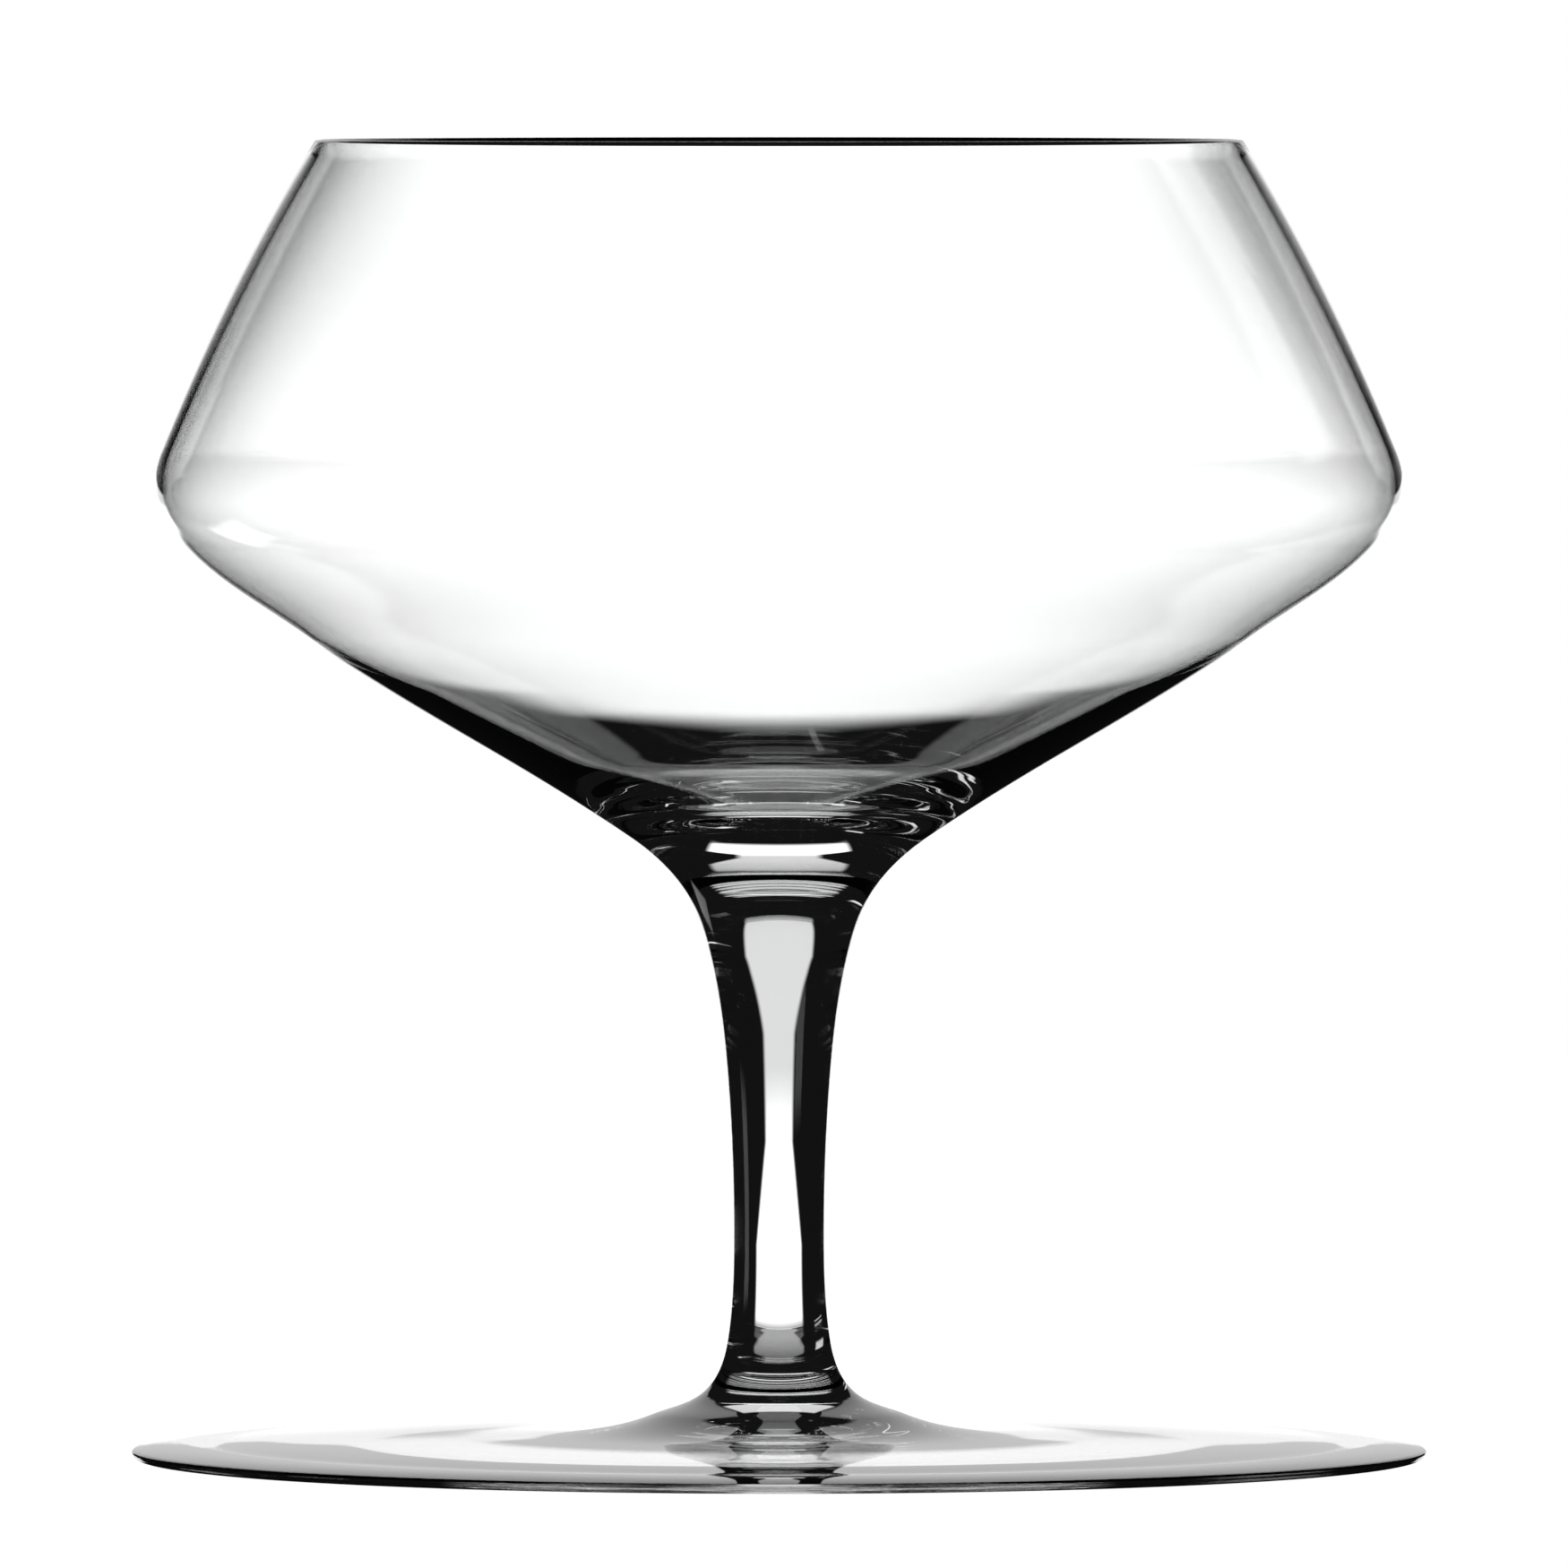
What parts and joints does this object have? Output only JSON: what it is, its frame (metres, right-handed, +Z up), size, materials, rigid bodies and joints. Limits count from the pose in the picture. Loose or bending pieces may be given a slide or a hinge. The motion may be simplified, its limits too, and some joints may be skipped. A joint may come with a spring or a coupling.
{
  "type": "martini glass",
  "caption": "Clear stemmed cocktail glass: a rounded diamond bowl that narrows to its rim, a short thin waisted stem and a wide, thin, flat foot.",
  "frame": {"origin": "centre of the foot, on the plane of the ring that it stands on", "axes": "+Z up along the axis of the glass, from the foot to the rim; the glass is the same all round, so +X and +Y are any two directions across it"},
  "size_m": [0.1042, 0.1042, 0.106],
  "materials": {
    "foot_glass": "fire-polished clear crystal",
    "stem_glass": "fire-polished clear crystal",
    "bowl_glass": "fire-polished clear crystal"
  },
  "bodies": {
    "root": {"foot": "foot_glass", "stem": "stem_glass", "bowl": "bowl_glass"}
  },
  "joints": []
}
